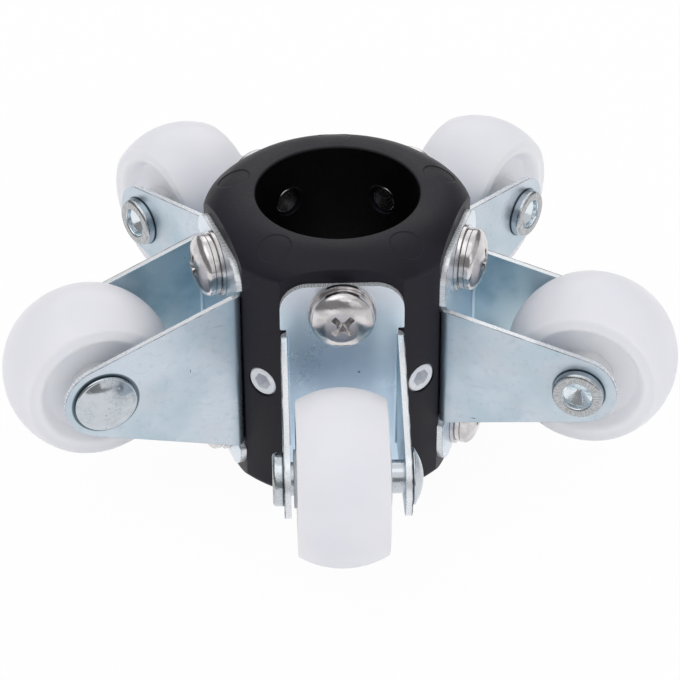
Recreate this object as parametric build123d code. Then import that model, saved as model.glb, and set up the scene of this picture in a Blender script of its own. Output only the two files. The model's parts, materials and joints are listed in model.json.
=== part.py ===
# Wheel skid for a pipe inspection camera: a moulded hub with five bolted casters.
# Millimetres. The bore lies on the Z axis and the origin is at the middle of the bore.
# The front caster points along -Y.

from build123d import *
import math
import os

# Hub
bore_diameter = 30.4
hub_diameter = 50.4
hub_height = 56.6
end_land_width = 1.4
dome_height = 4.3
shoulder_radius = 1.5
bore_rim_radius = 0.4
ejector_mark_diameter = 6.0
ejector_mark_depth = 0.12

# Caster bracket, folded from sheet
sheet_thickness = 1.2
tab_end_distance = 4.7
bend_inner_radius = 0.6
tab_corner_radius = 5.2
notch_depth = 1.1
notch_height = 1.2
axle_reach = 26.7
axle_rise = 0.4
narrow_arm_root = 25.3
narrow_arm_end_radius = 7.0
wide_arm_root = 34.0
wide_arm_end_radius = 7.6

# Wheel
wheel_diameter = 32.0
wheel_width = 16.2
tread_edge_radius = 0.6
side_rim_width = 2.6
side_recess_depth = 2.6
wheel_boss_diameter = 10.4
wheel_boss_proud = 0.5
front_wheel_gap = 0.55

# Axle rivet
axle_diameter = 6.0
rivet_head_diameter = 10.2
wide_rivet_head_diameter = 11.8
rivet_head_height = 2.2
rivet_brim_radius = 0.4
rolled_end_diameter = 9.6
rolled_end_height = 2.0
rolled_edge_radius = 0.7
rivet_bore_diameter = 5.6
rivet_bore_depth = 1.2
rivet_point_depth = 1.7
rivet_mouth_radius = 0.5

# Bracket screws and washers, M6
screw_diameter = 6.0
screw_end_distance = 10.3
screw_head_diameter = 11.6
screw_head_height = 2.9
screw_head_edge = 0.7
cross_width = 5.4
cross_depth = 2.2
cross_blade = 1.15
flat_washer_diameter = 12.4
flat_washer_thickness = 0.8
spring_washer_diameter = 11.4
spring_washer_thickness = 1.0
spring_washer_slit = 0.8
spring_washer_slant = 35.0
first_screw_turn = 45.0
screw_turn_step = 35.0

# Nylon clamp screws, M6
clamp_screw_diameter = 6.0
clamp_screw_length = 8.0
clamp_screw_inset = 0.3
clamp_socket_width = 3.0
clamp_socket_depth = 2.5
screw_chamfer = 0.6

# Clearances
running_clearance = 0.05
thread_clearance = 0.05
bracket_hole_clearance = 0.2
washer_clearance = 0.1
screw_tip_clearance = 0.4
wheel_side_play = 1.45

caster_names = ["front", "right_front", "right_back", "left_back", "left_front"]
front_angle = -90.0
caster_step = 360.0 / len(caster_names)

bore_radius = bore_diameter / 2
hub_radius = hub_diameter / 2
half_height = hub_height / 2
bracket_height = hub_height - 2 * tab_end_distance
boss_width = wheel_width + 2 * wheel_boss_proud
bracket_width = boss_width + 2 * wheel_side_play + 2 * sheet_thickness
half_width = bracket_width / 2
arm_inner_face = half_width - sheet_thickness
bend_outer_radius = bend_inner_radius + sheet_thickness
seat_distance = math.sqrt(hub_radius**2 - half_width**2)
plate_face = seat_distance + sheet_thickness
spring_washer_seat = plate_face + flat_washer_thickness
screw_head_seat = spring_washer_seat + spring_washer_thickness
screw_length = screw_head_seat - bore_radius - screw_tip_clearance
screw_height = half_height - screw_end_distance
axle_distance = seat_distance + axle_reach


def at_caster(shape, angle):
    """Turn a shape made along +X to its place round the hub."""
    return Rot(0, 0, angle) * shape


def along_x(shape, distance, height=0.0):
    """Stand a shape made along +Z on a radial line pointing outwards."""
    return Location((distance, 0, height), (0, 90, 0)) * shape


def turned(outline):
    """Turn a closed outline, drawn as radius and height, about the Z axis."""
    return revolve(Plane.XZ * make_face(outline), Axis.Z)


def disc(diameter, height, start=0.0):
    """A plain disc or pin that starts at the given height."""
    return Pos(0, 0, start) * extrude(Circle(diameter / 2), height)


# Hub

def hub_section():
    """The body's wall cut along its axis: flat lands at both ends and domed shoulders."""
    land = bore_radius + end_land_width
    shoulder = half_height - dome_height
    outline = [
        Line((bore_radius, -half_height), (land, -half_height)),
        TangentArc((land, -half_height), (hub_radius, -shoulder), tangent=(1, 0)),
        Line((hub_radius, -shoulder), (hub_radius, shoulder)),
        TangentArc((land, half_height), (hub_radius, shoulder), tangent=(1, 0)),
        Line((land, half_height), (bore_radius, half_height)),
        Line((bore_radius, half_height), (bore_radius, -half_height)),
    ]
    section = make_face(outline)
    corners = section.vertices().sort_by(Axis.X)
    section = fillet(corners[-2:], shoulder_radius)
    rims = section.vertices().sort_by(Axis.X)[:2]
    return fillet(rims, bore_rim_radius)


def seat_cutter():
    """The block that leaves one flat on the hub."""
    block = Box(hub_radius, 2 * hub_radius, 2 * hub_height, align=(Align.MIN, Align.CENTER, Align.CENTER))
    return Pos(seat_distance, 0, 0) * block


def ejector_mark(section):
    """A shallow round mark that follows the dome over one panel."""
    skin = revolve(Plane.XZ * (section - Pos(0, -ejector_mark_depth) * section), Axis.Z)
    middle = (bore_radius + hub_radius) / 2
    pin = Pos(middle, 0, half_height) * Cylinder(ejector_mark_diameter / 2, hub_height)
    return skin & pin


def hub():
    """The hub with its flats, screw holes and ejector marks."""
    section = hub_section()
    body = revolve(Plane.XZ * section, Axis.Z)
    mark = ejector_mark(section)
    screw_hole = disc(screw_diameter + 2 * thread_clearance, hub_radius)
    clamp_hole = disc(clamp_screw_diameter + 2 * thread_clearance, hub_radius)
    for index in range(len(caster_names)):
        angle = front_angle + index * caster_step
        panel_angle = angle + caster_step / 2
        body -= at_caster(seat_cutter(), angle)
        for side in (1, -1):
            body -= at_caster(along_x(screw_hole, 0, side * screw_height), angle)
        body -= at_caster(along_x(clamp_hole, 0), panel_angle)
        body -= at_caster(mark, panel_angle)
    return body


# Caster bracket

def side_outline(root, end_radius):
    """An arm seen from the side: straight edges from the bend to the round end."""
    with BuildSketch(Plane.XZ) as outline:
        with Locations((bend_outer_radius / 2, 0)):
            Rectangle(bend_outer_radius, root)
        with Locations((axle_reach, 0)):
            Circle(end_radius)
        make_hull()
    return outline.sketch


def folded_channel(root, end_radius):
    """The web and both arms, folded with round bends."""
    reach = axle_reach + end_radius
    outer = Pos(reach / 2, 0) * Rectangle(reach, bracket_width)
    outer_corners = outer.vertices().group_by(Axis.X)[0]
    outer = fillet(outer_corners, bend_outer_radius)
    inner = Pos(sheet_thickness + reach / 2, 0) * Rectangle(reach, 2 * arm_inner_face)
    inner_corners = inner.vertices().group_by(Axis.X)[0]
    inner = fillet(inner_corners, bend_inner_radius)
    channel = extrude(outer - inner, root / 2, both=True)
    return channel & extrude(side_outline(root, end_radius), half_width, both=True)


def screw_tab(arm_edge):
    """One end of the seat plate: a rounded tab past the notches at the arms' edges."""
    notch_top = arm_edge + notch_height
    tab_height = bracket_height / 2 - notch_top
    tab = Pos(0, notch_top + tab_height / 2) * Rectangle(bracket_width, tab_height)
    corner = min(tab_corner_radius, tab_height - sheet_thickness / 2)
    tab = fillet(tab.vertices().group_by(Axis.Y)[-1], corner)
    tab = fillet(tab.vertices().group_by(Axis.Y)[0], sheet_thickness / 4)
    neck_width = bracket_width - 2 * notch_depth
    neck = Pos(0, notch_top) * Rectangle(neck_width, 2 * notch_height + sheet_thickness)
    return extrude(Plane.YZ * (tab + neck), sheet_thickness)


def bracket(root, end_radius):
    """A caster bracket on its seat, with two screw tabs and two arms."""
    body = Pos(0, 0, axle_rise) * folded_channel(root, end_radius)
    upper_tab = screw_tab(root / 2 + axle_rise)
    lower_tab = mirror(screw_tab(root / 2 - axle_rise), Plane.XY)
    body += [upper_tab, lower_tab]
    hole = disc(screw_diameter + 2 * bracket_hole_clearance, 2 * sheet_thickness, -sheet_thickness / 2)
    for side in (1, -1):
        body -= along_x(hole, 0, side * screw_height)
    axle_hole = Cylinder(axle_diameter / 2 + running_clearance / 2, 2 * bracket_width)
    body -= Location((axle_reach, 0, axle_rise), (90, 0, 0)) * axle_hole
    return Pos(seat_distance, 0, 0) * body


# Wheel

def wheel():
    """A ball-shaped roller with dished sides and a centre boss, its axle along Z."""
    half = wheel_width / 2
    radius = wheel_diameter / 2
    edge = math.sqrt(radius**2 - half**2)
    recess = edge - side_rim_width
    slope_foot = recess - side_recess_depth / 2
    boss = wheel_boss_diameter / 2
    bore = axle_diameter / 2 + running_clearance
    floor = half - side_recess_depth
    boss_end = half + wheel_boss_proud
    outline = [
        ThreePointArc((edge, -half), (radius, 0), (edge, half)),
        Polyline((edge, half), (recess, half), (slope_foot, floor), (boss, floor),
                 (boss, boss_end), (bore, boss_end), (bore, -boss_end), (boss, -boss_end),
                 (boss, -floor), (slope_foot, -floor), (recess, -half), (edge, -half)),
    ]
    section = make_face(outline)
    tread_edges = section.vertices().sort_by(lambda corner: abs(corner.X - edge))[:2]
    section = fillet(tread_edges, tread_edge_radius)
    past_boss = (boss + slope_foot) / 2
    past_slope = (recess + edge) / 2 - tread_edge_radius / 2
    dish = [corner for corner in section.vertices() if past_boss < corner.X < past_slope]
    section = fillet(dish, side_recess_depth / 3)
    return revolve(Plane.XZ * section, Axis.Z)


# Axle rivet

def rivet(head_diameter):
    """A semi-tubular rivet along Z: domed head at the top end, rolled hollow end below."""
    shaft = axle_diameter / 2
    brim = head_diameter / 2 - rivet_brim_radius
    brim_top = half_width + 2 * rivet_brim_radius
    top = half_width + rivet_head_height
    end = -half_width - rolled_end_height
    rim = rolled_end_diameter / 2
    mouth = rivet_bore_diameter / 2
    floor = end + rivet_bore_depth
    outline = [
        Polyline((0, top), (0, floor + rivet_point_depth), (mouth, floor), (mouth, end + rivet_mouth_radius)),
        TangentArc((mouth + rivet_mouth_radius, end), (mouth, end + rivet_mouth_radius), tangent=(-1, 0)),
        Line((mouth + rivet_mouth_radius, end), (rim - rolled_edge_radius, end)),
        TangentArc((rim - rolled_edge_radius, end), (rim, end + rolled_edge_radius), tangent=(1, 0)),
        Polyline((rim, end + rolled_edge_radius), (rim, -half_width), (shaft, -half_width),
                 (shaft, half_width), (brim, half_width)),
        ThreePointArc((brim, half_width), (head_diameter / 2, half_width + rivet_brim_radius),
                      (brim, brim_top)),
        TangentArc((0, top), (brim, brim_top), tangent=(1, 0)),
    ]
    return turned(outline)


# Screws and washers

def cross_recess():
    """The tapered cross that a screwdriver enters, its mouth at Z = 0 and its point below."""
    blades = Rectangle(cross_width, cross_blade) + Rectangle(cross_blade, cross_width)
    cross = extrude(blades, -cross_depth)
    middle = Pos(0, 0, -cross_depth / 2)
    taper = middle * Cone(cross_blade / 2, cross_width / 2, cross_depth)
    core = middle * Cone(cross_blade / 3, cross_blade, cross_depth)
    return cross & taper, core


def bracket_screw():
    """A pan-head screw along Z, the underside of its head at Z = 0."""
    radius = screw_head_diameter / 2
    shank = screw_diameter / 2
    dome = EllipticalCenterArc(
        (0, screw_head_edge), radius, screw_head_height - screw_head_edge, start_angle=0, arc_size=90)
    outline = [
        Polyline((0, -screw_length), (shank - screw_chamfer, -screw_length),
                 (shank, -screw_length + screw_chamfer), (shank, 0), (radius, 0),
                 (radius, screw_head_edge)),
        dome,
        Line((0, screw_head_height), (0, -screw_length)),
    ]
    body = turned(outline)
    cross, core = cross_recess()
    mouth = Pos(0, 0, screw_head_height)
    return body - mouth * cross - mouth * core


def washer_ring(diameter, thickness):
    """A washer that slips over a bracket screw."""
    return extrude(Circle(diameter / 2) - Circle(screw_diameter / 2 + washer_clearance), thickness)


def spring_washer():
    """A split ring with a slanted slit."""
    ring = washer_ring(spring_washer_diameter, spring_washer_thickness)
    slit = Box(spring_washer_diameter, spring_washer_slit, 3 * spring_washer_thickness)
    slit_place = Location((spring_washer_diameter / 2, 0, spring_washer_thickness / 2),
                          (spring_washer_slant, 0, 0))
    return ring - slit_place * slit


def clamp_screw():
    """A set screw along Z with its hexagon socket at the top, at Z = 0."""
    body = disc(clamp_screw_diameter, clamp_screw_length, -clamp_screw_length)
    ends = body.edges().filter_by(GeomType.CIRCLE)
    body = chamfer(ends, screw_chamfer / 2)
    socket = RegularPolygon(clamp_socket_width / 2, 6, major_radius=False)
    return body - extrude(socket, -clamp_socket_depth)


# Assembly

def save(shape, name):
    export_step(shape, f"parts/{name}.step")


def caster(index, name, solids):
    """Save every piece of one caster in its place."""
    angle = front_angle + index * caster_step
    wide = name == "left_front"
    save(at_caster(solids["wide_bracket" if wide else "bracket"], angle), f"{name}_bracket")

    shift = front_wheel_gap - wheel_side_play if name == "front" else 0.0
    roller = Location((axle_distance, shift, axle_rise), (-90, 0, 0)) * solids["wheel"]
    save(at_caster(roller, angle), f"{name}_wheel")

    pin = solids["wide_rivet" if wide else "rivet"]
    head_side = 90 if name == "left_back" else -90
    pin = Location((axle_distance, 0, axle_rise), (head_side, 0, 0)) * pin
    save(at_caster(pin, angle), f"{name}_axle_rivet")

    turn = first_screw_turn + screw_turn_step * index
    for level, side in (("upper", 1), ("lower", -1)):
        height = side * screw_height
        slit_turn = 90 - side * 90
        stack = {
            "screw": along_x(Rot(0, 0, side * turn) * solids["screw"], screw_head_seat, height),
            "spring_washer": along_x(Rot(0, 0, slit_turn) * solids["spring_washer"],
                                     spring_washer_seat, height),
            "flat_washer": along_x(solids["flat_washer"], plate_face, height),
        }
        for kind, piece in stack.items():
            save(at_caster(piece, angle), f"{name}_{level}_{kind}")

    face = hub_radius - clamp_screw_inset
    clamp = along_x(Rot(0, 0, 90) * solids["clamp_screw"], face)
    save(at_caster(clamp, angle + caster_step / 2), f"{name}_clamp_screw")


os.makedirs("parts", exist_ok=True)
save(hub(), "hub")
solids = {
    "bracket": bracket(narrow_arm_root, narrow_arm_end_radius),
    "wide_bracket": bracket(wide_arm_root, wide_arm_end_radius),
    "wheel": wheel(),
    "rivet": rivet(rivet_head_diameter),
    "wide_rivet": rivet(wide_rivet_head_diameter),
    "screw": bracket_screw(),
    "flat_washer": washer_ring(flat_washer_diameter, flat_washer_thickness),
    "spring_washer": spring_washer(),
    "clamp_screw": clamp_screw(),
}
for index, name in enumerate(caster_names):
    caster(index, name, solids)
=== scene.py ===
import json
import math
import bpy
import bmesh
from mathutils import Matrix, Vector


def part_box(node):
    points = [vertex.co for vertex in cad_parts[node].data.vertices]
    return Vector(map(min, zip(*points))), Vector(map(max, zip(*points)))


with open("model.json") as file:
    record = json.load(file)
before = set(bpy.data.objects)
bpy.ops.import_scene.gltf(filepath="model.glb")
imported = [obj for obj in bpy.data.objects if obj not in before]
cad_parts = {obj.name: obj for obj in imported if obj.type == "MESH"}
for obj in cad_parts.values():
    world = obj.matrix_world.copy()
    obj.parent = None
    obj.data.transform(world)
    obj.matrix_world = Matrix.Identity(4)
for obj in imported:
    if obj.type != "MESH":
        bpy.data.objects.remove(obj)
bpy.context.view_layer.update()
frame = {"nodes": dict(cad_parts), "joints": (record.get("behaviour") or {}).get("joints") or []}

nodes = frame["nodes"]
spins = {joint["child"]: joint for joint in frame["joints"] if joint["type"] == "hinge"}
casterNames = [child.removesuffix("_wheel") for child in spins]
axlePlaces = {name: Vector(spins[f"{name}_wheel"]["pos_m"]) for name in casterNames}
axleHeight = axlePlaces["front"].z
axleDistance = axlePlaces["front"].xy.length
seatReach = 0.0267  # from a caster's seat to its axle
headSides = {name: 1.0 for name in casterNames}  # where the rivets' domed heads lie, across the caster
headSides["left_back"] = -1.0
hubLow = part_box("hub")[0]
print("frame loaded,", len(nodes), "nodes")


# camera, set to the photograph's view
cameraSettings = {
    "lens": 151.39,
    "sensor": 36.0,
    "clip": (0.01, 20.0),
    "place": (-0.01326, -0.44020, 0.32058),  # from the point where the axle plane meets the bore axis
    "elevation": 36.581,
    "yaw": -1.767,
    "roll": -0.283,
}


def makeCamera(s):
    data = bpy.data.cameras.new("photoCamera")
    data.lens = s["lens"]
    data.sensor_width = s["sensor"]
    data.clip_start, data.clip_end = s["clip"]
    camera = bpy.data.objects.new("photoCamera", data)
    bpy.context.scene.collection.objects.link(camera)
    yaw, tilt = math.radians(s["yaw"]), math.radians(s["elevation"])
    turn = Matrix.Rotation(yaw, 4, "Z") @ Matrix.Rotation(math.pi / 2 - tilt, 4, "X")
    turn = turn @ Matrix.Rotation(math.radians(s["roll"]), 4, "Z")
    camera.matrix_world = Matrix.Translation(Vector(s["place"]) + Vector((0, 0, axleHeight))) @ turn
    bpy.context.scene.camera = camera


makeCamera(cameraSettings)
print("camera set")


# small helpers for node trees
def tint(red, green, blue):
    return (red, green, blue, 1.0)


def addNode(tree, kind, settings=None, sockets=None):
    node = tree.nodes.new(f"ShaderNode{kind}")
    for key, value in (settings or {}).items():
        setattr(node, key, value)
    fillSockets(tree, node, sockets or {})
    return node


def fillSockets(tree, node, sockets):
    for key, value in sockets.items():
        if isinstance(value, bpy.types.NodeSocket):
            tree.links.new(value, node.inputs[key])
        else:
            node.inputs[key].default_value = value


def mathNode(tree, operation, first, second=0.0, third=0.0, clamp=False):
    settings = {"operation": operation, "use_clamp": clamp}
    return addNode(tree, "Math", settings, {0: first, 1: second, 2: third}).outputs[0]


def vectorNode(tree, operation, first, second):
    return addNode(tree, "VectorMath", {"operation": operation}, {0: first, 1: second}).outputs[0]


def lengthOf(tree, vector):
    return addNode(tree, "VectorMath", {"operation": "LENGTH"}, {0: vector}).outputs["Value"]


def dotOf(tree, first, second):
    return addNode(tree, "VectorMath", {"operation": "DOT_PRODUCT"}, {0: first, 1: second}).outputs["Value"]


def splitOf(tree, vector):
    return addNode(tree, "SeparateXYZ", None, {0: vector}).outputs


def mixColor(tree, factor, first, second):
    return addNode(tree, "Mix", {"data_type": "RGBA"}, {0: factor, 6: first, 7: second}).outputs[2]


def mixValue(tree, factor, first, second):
    return addNode(tree, "Mix", {"data_type": "FLOAT"}, {0: factor, 2: first, 3: second}).outputs[0]


def layer(tree, base, color, mask, share):
    # lays a colour over another where a mask shows, up to a share
    return mixColor(tree, mathNode(tree, "MULTIPLY", mask, share), base, color)


def ramp(tree, value, low, high, bottom=0.0, top=1.0):
    settings = {"interpolation_type": "SMOOTHSTEP"}
    sockets = {"Value": value, "From Min": low, "From Max": high, "To Min": bottom, "To Max": top}
    return addNode(tree, "MapRange", settings, sockets).outputs[0]


def bump(tree, height, relief, normal):
    return addNode(tree, "Bump", None, {"Height": height, "Normal": normal, **relief}).outputs[0]


def makeGroup(name, inputs, outputs):
    group = bpy.data.node_groups.new(name, "ShaderNodeTree")
    for label, kind, value in inputs:
        socket = group.interface.new_socket(name=label, in_out="INPUT", socket_type=f"NodeSocket{kind}")
        if value is not None:
            socket.default_value = value
    for label, kind in outputs:
        group.interface.new_socket(name=label, in_out="OUTPUT", socket_type=f"NodeSocket{kind}")
    given = group.nodes.new("NodeGroupInput").outputs
    leave = group.nodes.new("NodeGroupOutput")
    return group, given, leave


def placeGroup(tree, group, sockets):
    node = tree.nodes.new("ShaderNodeGroup")
    node.node_tree = group
    fillSockets(tree, node, sockets)
    return node.outputs


def pattern(tree, group, at, settings):
    # the mask of a shared effect, read at the given coordinates
    return placeGroup(tree, group, {"Vector": at, **settings})["Mask"]


# shared effects, each a node group that the materials place with their own values
effectSettings = {
    "warp": {"Scale": 2200.0, "Detail": 1.0},  # noise that bends the outlines of the specks
    "speckSpread": 0.8,  # by how much the smallest speck is smaller
    "speckRim": 0.7,  # where a speck starts to fade, as a share of its size
    "spotRim": 0.5,  # and a spot
    "scuffPatches": {"Scale": 140.0, "Detail": 2.0},  # noise that breaks the scuffs off
    "scuffFull": 0.8,  # value of that noise from which they show fully
    "bevelSamples": 6,
}


def makeMottle():
    # soft patches between two limits of a noise
    group, given, leave = makeGroup(
        "mottle",
        [("Vector", "Vector", None), ("Scale", "Float", 300.0), ("Detail", "Float", 3.0),
         ("Low", "Float", 0.4), ("High", "Float", 0.6)],
        [("Mask", "Float")])
    noise = addNode(group, "TexNoise", None, {
        "Vector": given["Vector"], "Scale": given["Scale"], "Detail": given["Detail"]})
    fillSockets(group, leave, {"Mask": ramp(group, noise.outputs[0], given["Low"], given["High"])})
    return group


def makeSpecks(s):
    # sparse small pits of uneven size and outline, one in some of the cells
    group, given, leave = makeGroup(
        "specks",
        [("Vector", "Vector", None), ("Scale", "Float", 900.0), ("Size", "Float", 0.2),
         ("Share", "Float", 0.3), ("Warp", "Float", 0.0004)],
        [("Mask", "Float")])
    shake = addNode(group, "TexNoise", None, {"Vector": given["Vector"], **s["warp"]})
    offset = addNode(group, "VectorMath", {"operation": "SCALE"}, {
        0: shake.outputs["Color"], "Scale": given["Warp"]}).outputs[0]
    bent = vectorNode(group, "ADD", given["Vector"], offset)
    cells = addNode(group, "TexVoronoi", None, {"Vector": bent, "Scale": given["Scale"]})
    pick = addNode(group, "SeparateColor", None, {0: cells.outputs["Color"]})
    uneven = mathNode(group, "MULTIPLY_ADD", pick.outputs[1], s["speckSpread"], 1.0 - s["speckSpread"])
    size = mathNode(group, "MULTIPLY", given["Size"], uneven)
    dot = ramp(group, mathNode(group, "DIVIDE", cells.outputs["Distance"], size), 1.0, s["speckRim"])
    kept = mathNode(group, "LESS_THAN", pick.outputs[0], given["Share"])
    fillSockets(group, leave, {"Mask": mathNode(group, "MULTIPLY", dot, kept)})
    return group


def makeSpot(s):
    # one soft-edged mark of a given place and size
    group, given, leave = makeGroup(
        "spot",
        [("Vector", "Vector", None), ("Place", "Vector", (0.0, 0.0, 0.0)),
         ("Size", "Vector", (0.001, 0.001, 0.001))],
        [("Mask", "Float")])
    away = vectorNode(group, "SUBTRACT", given["Vector"], given["Place"])
    away = lengthOf(group, vectorNode(group, "DIVIDE", away, given["Size"]))
    fillSockets(group, leave, {"Mask": ramp(group, away, 1.0, s["spotRim"])})
    return group


def makeScuffs(s):
    # thin broken lines: the places where a stretched noise crosses its middle
    group, given, leave = makeGroup(
        "scuffs",
        [("Vector", "Vector", None), ("Stretch", "Vector", (1.0, 1.0, 1.0)), ("Scale", "Float", 200.0),
         ("Width", "Float", 0.01), ("Cover", "Float", 0.6)],
        [("Mask", "Float")])
    stretched = vectorNode(group, "MULTIPLY", given["Vector"], given["Stretch"])
    noise = addNode(group, "TexNoise", None, {"Vector": stretched, "Scale": given["Scale"], "Detail": 1.0})
    away = mathNode(group, "ABSOLUTE", mathNode(group, "SUBTRACT", noise.outputs[0], 0.5))
    line = mathNode(group, "SUBTRACT", 1.0, ramp(group, away, 0.0, given["Width"]))
    patches = addNode(group, "TexNoise", None, {"Vector": given["Vector"], **s["scuffPatches"]})
    shown = ramp(group, patches.outputs[0], given["Cover"], s["scuffFull"])
    fillSockets(group, leave, {"Mask": mathNode(group, "MULTIPLY", line, shown)})
    return group


def makeEdgeWear(s):
    # a rounded normal at sharp edges, and a mask of where it turns away from the face
    group, given, leave = makeGroup(
        "edgeWear",
        [("Radius", "Float", 0.0002), ("Gain", "Float", 1.0)],
        [("Mask", "Float"), ("Normal", "Vector")])
    bevel = addNode(group, "Bevel", {"samples": s["bevelSamples"]}, {"Radius": given["Radius"]})
    rounded = bevel.outputs[0]
    face = addNode(group, "NewGeometry").outputs["Normal"]
    turned = mathNode(group, "SUBTRACT", 1.0, dotOf(group, rounded, face))
    mask = mathNode(group, "MULTIPLY", turned, given["Gain"], clamp=True)
    fillSockets(group, leave, {"Mask": mask, "Normal": rounded})
    return group


mottle = makeMottle()
specks = makeSpecks(effectSettings)
spot = makeSpot(effectSettings)
scuffs = makeScuffs(effectSettings)
edgeWear = makeEdgeWear(effectSettings)
print("shared effects built")


def freshTree(owner):
    owner.use_nodes = True
    owner.node_tree.nodes.clear()
    return owner.node_tree


def startMaterial(name):
    material = bpy.data.materials.new(name)
    tree = freshTree(material)
    shader = addNode(tree, "BsdfPrincipled")
    addNode(tree, "OutputMaterial", None, {"Surface": shader.outputs[0]})
    coords = addNode(tree, "TexCoord").outputs
    return material, tree, shader, coords


def turnBack(name):
    # from a caster's own heading to the X axis
    return (0, 0, -math.atan2(axlePlaces[name].y, axlePlaces[name].x))


def casterPlace(tree, coords, name):
    # coordinates from the middle of a caster's seat: out, across and up from the axle
    return addNode(tree, "Mapping", None, {
        "Vector": coords["Object"], "Rotation": turnBack(name),
        "Location": (seatReach - axleDistance, 0, -axleHeight)}).outputs[0]


def casterFacing(tree, coords, name):
    # the surface's normal, seen the same way
    return addNode(tree, "Mapping", None, {
        "Vector": coords["Normal"], "Rotation": turnBack(name)}).outputs[0]


def pastAxle(tree, spotAt):
    # how much further out than the axle a point lies
    return mathNode(tree, "SUBTRACT", spotAt[0], seatReach)


def axleDistanceAt(tree, spotAt):
    # how far a point lies from the axle's line
    away = addNode(tree, "CombineXYZ", None, {0: pastAxle(tree, spotAt), 2: spotAt[2]}).outputs[0]
    return lengthOf(tree, away)


def roundedNormal(tree, radius):
    return placeGroup(tree, edgeWear, {"Radius": radius})["Normal"]


def dress(node, material):
    obj = nodes[node]
    if not obj.data.materials:
        obj.data.materials.append(material)
    for slot in obj.material_slots:
        slot.link = "OBJECT"
        slot.material = material


# hub: black moulding, satin, finely grained
hubSettings = {
    "dark": tint(0.0058, 0.0049, 0.0094),
    "light": tint(0.0103, 0.0089, 0.0160),
    # darker inside the bore: painted shade
    "bore": tint(0.0012, 0.0012, 0.0014),
    "boreRadius": 0.01525,
    "worn": tint(0.045, 0.045, 0.050),
    "wornShare": 0.35,
    "patches": {"Scale": 90.0, "Detail": 5.0, "Low": 0.3, "High": 0.7},
    "grain": {"Scale": 2600.0, "Detail": 2.0, "Low": 0.35, "High": 0.65},
    "scratches": {"Stretch": (1.0, 0.35, 0.5), "Scale": 160.0, "Width": 0.004, "Cover": 0.62},
    "edge": {"Radius": 0.00035, "Gain": 2.0},
    "roughness": (0.36, 0.48),
    "grainRoughness": 0.06,  # what the grain adds to it
    "edgeRoughness": 0.20,
    "specular": 0.22,
    "relief": {"Strength": 0.5, "Distance": 0.00002},
}


def makeHubMaterial(s):
    material, tree, shader, coords = startMaterial("hubPlastic")
    place = coords["Object"]
    patches = pattern(tree, mottle, place, s["patches"])
    grain = pattern(tree, mottle, place, s["grain"])
    scratches = pattern(tree, scuffs, place, s["scratches"])
    edge = placeGroup(tree, edgeWear, s["edge"])
    color = mixColor(tree, patches, s["dark"], s["light"])
    color = layer(tree, color, s["worn"], edge["Mask"], s["wornShare"])
    color = layer(tree, color, s["worn"], scratches, s["wornShare"])
    spotAt = splitOf(tree, place)
    distance = lengthOf(tree, addNode(tree, "CombineXYZ", None, {0: spotAt[0], 1: spotAt[1]}).outputs[0])
    # the bore gets a darker colour, a painted shade
    inBore = mathNode(tree, "LESS_THAN", distance, s["boreRadius"])
    rough = mixValue(tree, patches, s["roughness"][0], s["roughness"][1])
    rough = mathNode(tree, "MULTIPLY_ADD", grain, s["grainRoughness"], rough)
    fillSockets(tree, shader, {
        "Base Color": mixColor(tree, inBore, color, s["bore"]),
        "Roughness": mixValue(tree, edge["Mask"], rough, s["edgeRoughness"]),
        "Specular IOR Level": s["specular"],
        "Normal": bump(tree, grain, s["relief"], edge["Normal"])})
    return material


dress("hub", makeHubMaterial(hubSettings))
print("hub dressed")


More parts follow.
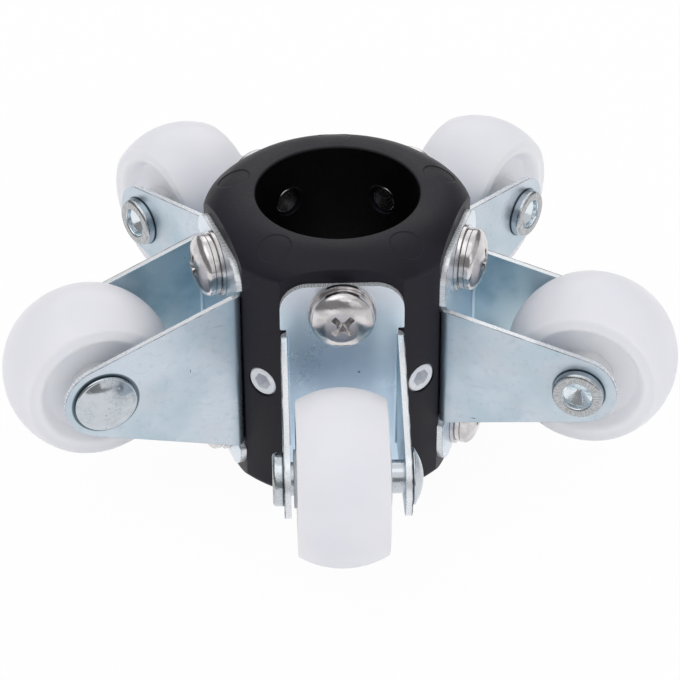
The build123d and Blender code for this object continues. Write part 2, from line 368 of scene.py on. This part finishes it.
# caster brackets: blue-white zinc plate, with bare, torn metal on its cut edges
sheetSettings = {
    "bend": 0.0018,  # outer radius of the folds
    "halfWidth": 0.01125,
    "thickness": 0.0012,
    "armEdge": {"left_front": 0.0178},  # half the arms' height where they leave the seat
    "plainArmEdge": 0.0133,  # and on the other brackets

    # colours of the faces
    "pale": tint(0.61, 0.68, 0.755),
    "deep": tint(0.50, 0.605, 0.68),
    "lilac": tint(0.62, 0.635, 0.69),
    # dark blue: random freckles, and a painted reflection of the dark hub on the folds
    "fold": tint(0.24, 0.33, 0.41),
    "pit": tint(0.10, 0.14, 0.18),
    "inner": tint(0.57, 0.71, 0.78),  # between the arms: darker and bluer, a painted shade and reflection of the shaded arms
    "innerDeep": tint(0.36, 0.52, 0.61),
    # the web's own brighter, bluer colour is painted light, turning to painted shade towards the axle
    "web": tint(0.78, 0.91, 1.0),
    "webDeep": tint(0.56, 0.70, 0.84),
    "webFade": (0.002, 0.017),  # heights over which the web's painted shade gives way to its painted light
    # paler on the tabs: painted light
    "tab": tint(0.78, 0.83, 0.90),
    "tabFade": (0.015, 0.022),
    "foldFade": (1.9, 0.2),  # in outer radii from the seat; over these the painted reflection of the dark hub fades off the fold

    # patterns, and the share in which each shows
    "clouds": {"Scale": 75.0, "Detail": 5.0, "Low": 0.34, "High": 0.66},
    "stains": {"Scale": 120.0, "Detail": 6.0, "Low": 0.45, "High": 0.75},
    "freckles": {"Scale": 850.0, "Detail": 4.0, "Low": 0.52, "High": 0.72},
    "streaks": {"Scale": 1100.0, "Detail": 3.0, "Low": 0.3, "High": 0.7},
    "strokes": {"Scale": 620.0, "Detail": 3.0, "Low": 0.66, "High": 0.76},
    "sparkle": {"Scale": 2600.0, "Detail": 3.0, "Low": 0.42, "High": 0.60},
    "pits": {"Scale": 420.0, "Size": 0.10, "Share": 0.07, "Warp": 0.0003},
    "lines": {"Stretch": (0.3, 1.0, 1.0), "Scale": 240.0, "Width": 0.006, "Cover": 0.60},
    "rolling": (0.15, 1.0, 1.0),  # draws the streaks, strokes and sparkle out along the caster
    "shares": {
        "stains": 0.6, "freckles": 0.16, "fold": 0.6, "strokes": 0.22,
        "pits": 0.45, "lines": 0.25, "grime": 0.85},
    "marks": {  # dark dents and scratches: place from the seat, across and above the axle, and size
        "front": [((0.0012, 0.00304, 0.0040), (0.0009, 0.00028, 0.00028))],
        "left_front": [((0.0104, 0.01125, 0.0029), (0.00009, 0.0006, 0.0006))],
        "right_front": [((0.0070, -0.01125, -0.0105), (0.0006, 0.0006, 0.00012))],
    },
    # painted shadow round each end of the rivet
    "grime": tint(0.04, 0.08, 0.10),
    "grimeWidth": 0.00025,  # over which it fades
    "headGrime": {"left_front": 0.0063},  # radius of the painted shadow round the rivet's head
    "plainHeadGrime": 0.00555,  # and on the other brackets
    "rolledGrime": 0.0049,  # radius round its rolled end

    # cut edges
    "cut": tint(0.82, 0.85, 0.88),
    "cutShade": tint(0.60, 0.64, 0.68),
    "cutLine": tint(0.06, 0.06, 0.07),
    "levelEdge": (0.15, 0.45),  # how far a face looks up or down from plain to cut
    "sideEdge": (0.8, 0.5),  # how far it looks along its sheet's own way, from plain to cut
    "webSide": (0.35, 0.9),  # how far it looks outwards, from another face to the web
    "facing": (-0.002, 0.001),  # limits of place times normal across, for inner and outer faces
    "tornFade": (0.65, 0.35),  # depths as shares of the thickness
    "seamFade": (0.22, 0.08),  # of the dark line along the outer face
    "seamStreaks": (0.6, 0.4),  # how much of that line comes and goes, and how much stays
    "tabWear": 0.55,  # share of the torn look on the tabs' edges
    "tornGrain": (0.32, 0.10),  # what the torn part adds to the grain of the smooth one

    # gloss and relief, of the faces and of the cut edges
    "metal": (0.82, 0.50),
    "roughness": (0.26, 0.36),
    "streakRoughness": 0.06,
    "cutRoughness": (0.24, 0.34),
    "edgeRadius": 0.00012,
    "heights": (0.07, 0.12),
    "relief": {"Strength": 0.6, "Distance": 0.00004},
}


def makeSheetMaterial(name, s):
    material, tree, shader, coords = startMaterial(f"zincSheet_{name}")
    place = coords["Object"]
    local = casterPlace(tree, coords, name)
    spotAt = splitOf(tree, local)
    out, across, up = spotAt
    facing = splitOf(tree, casterFacing(tree, coords, name))
    height = mathNode(tree, "ABSOLUTE", up)

    # sheet faces stand upright, so what looks up or down is a cut edge
    alongOut, alongAcross, alongUp = [mathNode(tree, "ABSOLUTE", axis) for axis in facing]
    flatEdge = ramp(tree, alongUp, *s["levelEdge"])
    onArm = mathNode(tree, "GREATER_THAN", out, s["bend"])
    armEdge = mathNode(tree, "MULTIPLY", onArm, ramp(tree, alongAcross, *s["sideEdge"]))
    onTab = mathNode(tree, "GREATER_THAN", height, s["armEdge"].get(name, s["plainArmEdge"]))
    tabEdge = mathNode(tree, "MULTIPLY", onTab, ramp(tree, alongOut, *s["sideEdge"]))
    cut = mathNode(tree, "MAXIMUM", flatEdge, mathNode(tree, "MAXIMUM", armEdge, tabEdge))

    # the arms' inner faces look at each other and get a painted shade, and the web between them gets a
    # painted light that darkens towards the axle
    turned = mathNode(tree, "MULTIPLY", across, facing[1])
    inward = mathNode(tree, "LESS_THAN", turned, s["facing"][0])
    outer = mathNode(tree, "GREATER_THAN", turned, s["facing"][1])
    webFace = ramp(tree, facing[0], *s["webSide"])
    offWeb = mathNode(tree, "SUBTRACT", 1.0, webFace)

    rolled = vectorNode(tree, "MULTIPLY", local, s["rolling"])
    clouds = pattern(tree, mottle, place, s["clouds"])
    stains = pattern(tree, mottle, local, s["stains"])
    freckles = pattern(tree, mottle, local, s["freckles"])
    streaks = pattern(tree, mottle, rolled, s["streaks"])
    strokes = pattern(tree, mottle, rolled, s["strokes"])
    sparkle = pattern(tree, mottle, rolled, s["sparkle"])
    pits = pattern(tree, specks, place, s["pits"])
    lines = pattern(tree, scuffs, local, s["lines"])

    shares = s["shares"]
    face = mixColor(tree, clouds, s["pale"], s["deep"])
    face = layer(tree, face, s["lilac"], stains, shares["stains"])
    face = layer(tree, face, s["fold"], freckles, shares["freckles"])
    # the folds' outer faces darken: a painted reflection of the dark hub
    folded = ramp(tree, out, s["bend"] * s["foldFade"][0], s["bend"] * s["foldFade"][1])
    face = layer(tree, face, s["fold"], mathNode(tree, "MULTIPLY", folded, outer), shares["fold"])
    # inner faces get a darker, bluer colour: painted shade and reflection of the shaded arms
    face = mixColor(tree, inward, face, mixColor(tree, stains, s["inner"], s["innerDeep"]))
    # the web gets painted light, darker towards the axle as painted shade and paler on the tabs
    web = mixColor(tree, ramp(tree, up, *s["webFade"]), s["webDeep"], s["web"])
    web = mixColor(tree, ramp(tree, height, *s["tabFade"]), web, s["tab"])
    face = mixColor(tree, webFace, face, web)
    for mask, label, color in ((strokes, "strokes", "pit"), (pits, "pits", "pit"), (lines, "lines", "cut")):
        face = layer(tree, face, s[color], mathNode(tree, "MULTIPLY", mask, offWeb), shares[label])
    for centre, size in s["marks"].get(name, []):
        face = mixColor(tree, pattern(tree, spot, local, {"Place": centre, "Size": size}), face, s["pit"])

    # a painted shadow darkens the ring of sheet round each end of the rivet
    headSide = mathNode(tree, "GREATER_THAN", mathNode(tree, "MULTIPLY", across, headSides[name]), 0.0)
    radius = mixValue(tree, headSide, s["rolledGrime"], s["headGrime"].get(name, s["plainHeadGrime"]))
    ring = mathNode(tree, "SUBTRACT", axleDistanceAt(tree, spotAt), radius)
    # painted shadow on the outer face, just outside the rivet's ends
    grime = mathNode(tree, "MULTIPLY", ramp(tree, ring, s["grimeWidth"], 0.0), outer)
    face = layer(tree, face, s["grime"], grime, shares["grime"])

    # a sheared edge is smooth and bright towards the inner face, torn and dark towards the outer one
    armDepth = mathNode(tree, "SUBTRACT", s["halfWidth"], mathNode(tree, "ABSOLUTE", across))
    depth = mixValue(tree, onArm, mathNode(tree, "SUBTRACT", s["thickness"], out), armDepth)
    wear = mixValue(tree, onArm, s["tabWear"], 1.0)
    torn = ramp(tree, depth, *[s["thickness"] * share for share in s["tornFade"]])
    torn = mathNode(tree, "MULTIPLY", torn, wear)
    grain = mathNode(tree, "MULTIPLY", sparkle, mathNode(tree, "MULTIPLY_ADD", torn, *s["tornGrain"]))
    seam = ramp(tree, depth, *[s["thickness"] * share for share in s["seamFade"]])
    seam = mathNode(tree, "MULTIPLY", seam, mathNode(tree, "MULTIPLY_ADD", streaks, *s["seamStreaks"]))
    rim = mixColor(tree, grain, s["cut"], s["cutShade"])
    rim = layer(tree, rim, s["cutLine"], seam, wear)

    faceRough = mixValue(tree, clouds, *s["roughness"])
    faceRough = mathNode(tree, "MULTIPLY_ADD", streaks, s["streakRoughness"], faceRough)
    rimRough = mixValue(tree, sparkle, *s["cutRoughness"])
    faceHeight = mathNode(tree, "MULTIPLY", streaks, s["heights"][0])
    rimHeight = mathNode(tree, "MULTIPLY", grain, s["heights"][1])
    relief = mixValue(tree, cut, faceHeight, rimHeight)
    fillSockets(tree, shader, {
        "Base Color": mixColor(tree, cut, face, rim),
        "Metallic": mixValue(tree, cut, *s["metal"]),
        "Roughness": mixValue(tree, cut, faceRough, rimRough),
        "Normal": bump(tree, relief, s["relief"], roundedNormal(tree, s["edgeRadius"]))})
    return material


for name in casterNames:
    dress(f"{name}_bracket", makeSheetMaterial(name, sheetSettings))
print("brackets dressed")


# axle rivets: the same plating on smooth turned heads
rivetSettings = {
    "pale": tint(0.565, 0.605, 0.645),
    "deep": tint(0.46, 0.50, 0.54),
    # paler inside the rolled end's bore: a painted highlight
    "bore": tint(0.78, 0.84, 0.88),
    "boreRadius": 0.0029,
    "pit": tint(0.14, 0.15, 0.17),
    "pitShare": 0.5,
    "ring": tint(0.49, 0.505, 0.52),
    "ringLine": tint(0.27, 0.275, 0.28),
    "lineShare": 0.6,
    "ringFace": (0.0127, 0.0131),  # across, from the rolled end's rim to its face
    # painted shade at the foot of the head's brim
    "underBrim": tint(0.05, 0.08, 0.10),
    "brim": (0.01170, 0.01138),  # across, from the head down to the arm's outer face, over which the painted shade comes in
    "brimRadius": 0.0040,
    "clouds": {"Scale": 420.0, "Detail": 5.0, "Low": 0.38, "High": 0.70},
    "strokes": {"Scale": 16.0, "Detail": 3.0, "Low": 0.42, "High": 0.62},
    "strokeReach": 60.0,  # how fast the radial strokes change with the radius
    "grain": {"Scale": 2600.0, "Detail": 3.0, "Low": 0.35, "High": 0.65},
    "pits": {"Scale": 900.0, "Size": 0.2, "Share": 0.16, "Warp": 0.0004},
    "roughness": (0.09, 0.16),
    "patchRoughness": 0.27,
    "edgeRadius": 0.00015,
    "relief": {"Strength": 0.4, "Distance": 0.00003},
}


def makeRivetMaterial(name, s):
    material, tree, shader, coords = startMaterial(f"zincRivet_{name}")
    place = coords["Object"]
    spotAt = splitOf(tree, casterPlace(tree, coords, name))
    across, up = spotAt[1], spotAt[2]
    fromMiddle = mathNode(tree, "ABSOLUTE", across)
    away = axleDistanceAt(tree, spotAt)
    angle = mathNode(tree, "ARCTAN2", up, pastAxle(tree, spotAt))
    radial = addNode(tree, "CombineXYZ", None, {
        0: angle, 1: mathNode(tree, "MULTIPLY", away, s["strokeReach"])}).outputs[0]
    clouds = pattern(tree, mottle, place, s["clouds"])
    strokes = pattern(tree, mottle, radial, s["strokes"])
    grain = pattern(tree, mottle, place, s["grain"])
    pits = pattern(tree, specks, place, s["pits"])
    dull = mathNode(tree, "MULTIPLY", clouds, grain)
    color = mixColor(tree, dull, s["pale"], s["deep"])
    color = layer(tree, color, s["pit"], pits, s["pitShare"])

    # the rolled end has radial lines on its face, and its bore is paler, a painted highlight
    lined = layer(tree, s["ring"], s["ringLine"], strokes, s["lineShare"])
    lined = mixColor(tree, ramp(tree, fromMiddle, *s["ringFace"]), color, lined)
    lined = mixColor(tree, mathNode(tree, "LESS_THAN", away, s["boreRadius"]), lined, s["bore"])
    rolledSide = mathNode(tree, "LESS_THAN", mathNode(tree, "MULTIPLY", across, headSides[name]), 0.0)
    color = mixColor(tree, rolledSide, color, lined)
    # painted shade on the brim's foot, next to the arm
    foot = mathNode(tree, "GREATER_THAN", away, s["brimRadius"])
    color = layer(tree, color, s["underBrim"], foot, ramp(tree, fromMiddle, *s["brim"]))
    rough = mixValue(tree, grain, *s["roughness"])
    fillSockets(tree, shader, {
        "Base Color": color, "Metallic": 1.0,
        "Roughness": mixValue(tree, clouds, rough, s["patchRoughness"]),
        "Normal": bump(tree, dull, s["relief"], roundedNormal(tree, s["edgeRadius"]))})
    return material


for name in casterNames:
    dress(f"{name}_axle_rivet", makeRivetMaterial(name, rivetSettings))
print("rivets dressed")


# wheels: milky white moulding that lets a little light in
wheelSettings = {
    "white": tint(0.775, 0.77, 0.82),
    "cool": tint(0.75, 0.75, 0.805),
    # paler in the side recess: painted light against the arm's shadow
    "recess": tint(0.885, 0.885, 0.93),
    "recessRadii": (0.0134, 0.0110),  # from the tread in to the side recess, over which the painted light comes in
    "clouds": {"Scale": 95.0, "Detail": 3.0, "Low": 0.3, "High": 0.7},
    "grain": {"Scale": 1800.0, "Detail": 2.0, "Low": 0.3, "High": 0.7},
    "roughness": (0.36, 0.48),
    "glow": 0.8,
    "depth": (0.010, 0.010, 0.011),  # how far light spreads inside, in metres
    "edgeRadius": 0.0003,
    "relief": {"Strength": 0.2, "Distance": 0.00002},
}


def makeWheelMaterial(name, s):
    material, tree, shader, coords = startMaterial(f"wheelNylon_{name}")
    place = coords["Object"]
    away = axleDistanceAt(tree, splitOf(tree, casterPlace(tree, coords, name)))
    # painted light: the side recess gets a paler colour
    recess = ramp(tree, away, *s["recessRadii"])
    clouds = pattern(tree, mottle, place, s["clouds"])
    grain = pattern(tree, mottle, place, s["grain"])
    tread = mixColor(tree, clouds, s["white"], s["cool"])
    fillSockets(tree, shader, {
        "Base Color": mixColor(tree, recess, tread, s["recess"]),
        "Roughness": mixValue(tree, clouds, *s["roughness"]),
        "Subsurface Weight": s["glow"], "Subsurface Radius": s["depth"], "Subsurface Scale": 1.0,
        "Normal": bump(tree, grain, s["relief"], roundedNormal(tree, s["edgeRadius"]))})
    return material


for name in casterNames:
    dress(f"{name}_wheel", makeWheelMaterial(name, wheelSettings))
print("wheels dressed")


# stainless screws and washers
steelSettings = {
    "warm": tint(0.70, 0.675, 0.68),
    "shade": tint(0.55, 0.53, 0.535),
    # painted shade in the gaps between the stacked parts
    "joint": tint(0.05, 0.05, 0.055),
    "joints": (0.0012, 0.0020, 0.0030),  # from the seat: painted shade in the gaps under both washers and the head
    "jointWidth": 0.00016,
    "sideLimit": 0.5,  # the painted shade shows only on what looks less outwards than this
    "clouds": {"Scale": 420.0, "Detail": 4.0, "Low": 0.35, "High": 0.65},
    "grain": {"Scale": 2400.0, "Detail": 2.0, "Low": 0.35, "High": 0.65},
    "roughness": (0.10, 0.22),
    "edgeRadius": 0.0002,
    "relief": {"Strength": 0.2, "Distance": 0.00002},
}


def makeSteelMaterial(name, s):
    material, tree, shader, coords = startMaterial(f"stainless_{name}")
    place = coords["Object"]
    out = splitOf(tree, casterPlace(tree, coords, name))[0]
    outwards = mathNode(tree, "ABSOLUTE", splitOf(tree, casterFacing(tree, coords, name))[0])
    # painted shade: dark lines in the gaps between sheet, washers and head
    joints = 0.0
    for level in s["joints"]:
        gap = mathNode(tree, "ABSOLUTE", mathNode(tree, "SUBTRACT", out, level))
        joints = mathNode(tree, "MAXIMUM", joints, ramp(tree, gap, s["jointWidth"], 0.0))
    onSide = mathNode(tree, "LESS_THAN", outwards, s["sideLimit"])
    clouds = pattern(tree, mottle, place, s["clouds"])
    grain = pattern(tree, mottle, place, s["grain"])
    color = mixColor(tree, clouds, s["warm"], s["shade"])
    fillSockets(tree, shader, {
        "Base Color": layer(tree, color, s["joint"], joints, onSide), "Metallic": 1.0,
        "Roughness": mixValue(tree, clouds, *s["roughness"]),
        "Normal": bump(tree, grain, s["relief"], roundedNormal(tree, s["edgeRadius"]))})
    return material


for name in casterNames:
    steelMaterial = makeSteelMaterial(name, steelSettings)
    for level in ("upper", "lower"):
        for kind in ("screw", "spring_washer", "flat_washer"):
            dress(f"{name}_{level}_{kind}", steelMaterial)
print("screws and washers dressed")


# clamp screws: white nylon
clampSettings = {
    "white": tint(0.86, 0.87, 0.90),
    "cool": tint(0.78, 0.80, 0.86),
    "clouds": {"Scale": 500.0, "Detail": 3.0, "Low": 0.35, "High": 0.65},
    "roughness": 0.42,
    "glow": 0.2,
    "depth": (0.001, 0.001, 0.0012),
    "edgeRadius": 0.0002,
    "relief": {"Strength": 0.2, "Distance": 0.00002},
}


def makeClampMaterial(s):
    material, tree, shader, coords = startMaterial("screwNylon")
    clouds = pattern(tree, mottle, coords["Object"], s["clouds"])
    fillSockets(tree, shader, {
        "Base Color": mixColor(tree, clouds, s["white"], s["cool"]), "Roughness": s["roughness"],
        "Subsurface Weight": s["glow"], "Subsurface Radius": s["depth"],
        "Normal": bump(tree, clouds, s["relief"], roundedNormal(tree, s["edgeRadius"]))})
    return material


clampMaterial = makeClampMaterial(clampSettings)
for name in casterNames:
    dress(f"{name}_clamp_screw", clampMaterial)
print("clamp screws dressed")


# floor, light and white surround
studio = {
    "floorSize": 6.0,
    "floorCells": 4,
    "floorColor": tint(0.93, 0.93, 0.935),
    "floorGlow": 0.96,  # share of plain white that the camera sees in the floor
    "roomLight": 0.84,
    "white": tint(1.0, 1.0, 1.0),
    "ceiling": 1.0,  # what mirrors see overhead
    "walls": 0.25,  # and at the sides
    "ceilingFade": (0.55, 0.85),  # how far up the one turns into the other
    "panels": {  # bright fields that only mirrors see, round the way each lies in
        "front": {"way": (0.16, -0.66, 0.73), "reach": (0.90, 0.97), "strength": 1.0},
        "right": {"way": (0.93, -0.25, 0.27), "reach": (0.72, 0.92), "strength": 0.62},
        "back": {"way": (0.0, 0.80, 0.60), "reach": (0.80, 0.95), "strength": 1.0},
    },
    "lamps": {
        "topSoftbox": {"place": (-0.25, -0.15, 0.75), "size": 0.70, "power": 0.70},
        "frontSoftbox": {"place": (0.45, -0.75, 0.35), "size": 0.50, "power": 0.55},
        "backSoftbox": {"place": (0.10, 0.70, 0.45), "size": 0.50, "power": 0.30},
    },
}


def makeFloor(s):
    bm = bmesh.new()
    bmesh.ops.create_grid(
        bm, x_segments=s["floorCells"], y_segments=s["floorCells"], size=s["floorSize"] / 2)
    bmesh.ops.translate(bm, verts=bm.verts, vec=(0, 0, hubLow.z))
    mesh = bpy.data.meshes.new("floor")
    bm.to_mesh(mesh)
    bm.free()
    floor = bpy.data.objects.new("floor", mesh)
    bpy.context.scene.collection.objects.link(floor)
    material = bpy.data.materials.new("paleFloor")
    tree = freshTree(material)
    matte = addNode(tree, "BsdfDiffuse", None, {"Color": s["floorColor"]})
    glow = addNode(tree, "Emission", None, {"Color": s["white"], "Strength": 1.0})
    rays = addNode(tree, "LightPath").outputs
    seen = mathNode(tree, "MAXIMUM", rays["Is Camera Ray"], rays["Is Glossy Ray"])
    seen = mathNode(tree, "MAXIMUM", seen, rays["Is Transmission Ray"])
    share = mathNode(tree, "MULTIPLY", seen, s["floorGlow"])
    both = addNode(tree, "MixShader", None, {0: share, 1: matte.outputs[0], 2: glow.outputs[0]})
    addNode(tree, "OutputMaterial", None, {"Surface": both.outputs[0]})
    mesh.materials.append(material)


def makeRoom(s):
    world = bpy.data.worlds.new("room")
    bpy.context.scene.world = world
    tree = freshTree(world)
    way = addNode(tree, "TexCoord").outputs["Generated"]
    shade = ramp(tree, splitOf(tree, way)[2], *s["ceilingFade"], s["walls"], s["ceiling"])
    for panel in s["panels"].values():
        glow = ramp(tree, dotOf(tree, way, panel["way"]), *panel["reach"], 0.0, panel["strength"])
        shade = mathNode(tree, "MAXIMUM", shade, glow)
    light, mirrored, plain = [
        addNode(tree, "Background", None, {"Color": s["white"], "Strength": strength}).outputs[0]
        for strength in (s["roomLight"], shade, 1.0)]
    rays = addNode(tree, "LightPath").outputs
    both = addNode(tree, "MixShader", None, {0: rays["Is Glossy Ray"], 1: light, 2: mirrored})
    seen = mathNode(tree, "MAXIMUM", rays["Is Camera Ray"], rays["Is Transmission Ray"])
    both = addNode(tree, "MixShader", None, {0: seen, 1: both.outputs[0], 2: plain})
    addNode(tree, "OutputWorld", None, {"Surface": both.outputs[0]})


def makeLamp(name, s):
    data = bpy.data.lights.new(name, "AREA")
    data.shape = "SQUARE"
    data.size = s["size"]
    data.energy = s["power"]
    lamp = bpy.data.objects.new(name, data)
    bpy.context.scene.collection.objects.link(lamp)
    lamp.location = s["place"]
    lamp.rotation_euler = Vector(s["place"]).to_track_quat("Z", "Y").to_euler()


makeFloor(studio)
makeRoom(studio)
for name, settings in studio["lamps"].items():
    makeLamp(name, settings)
bpy.context.scene.view_settings.view_transform = "Standard"
print("studio set")
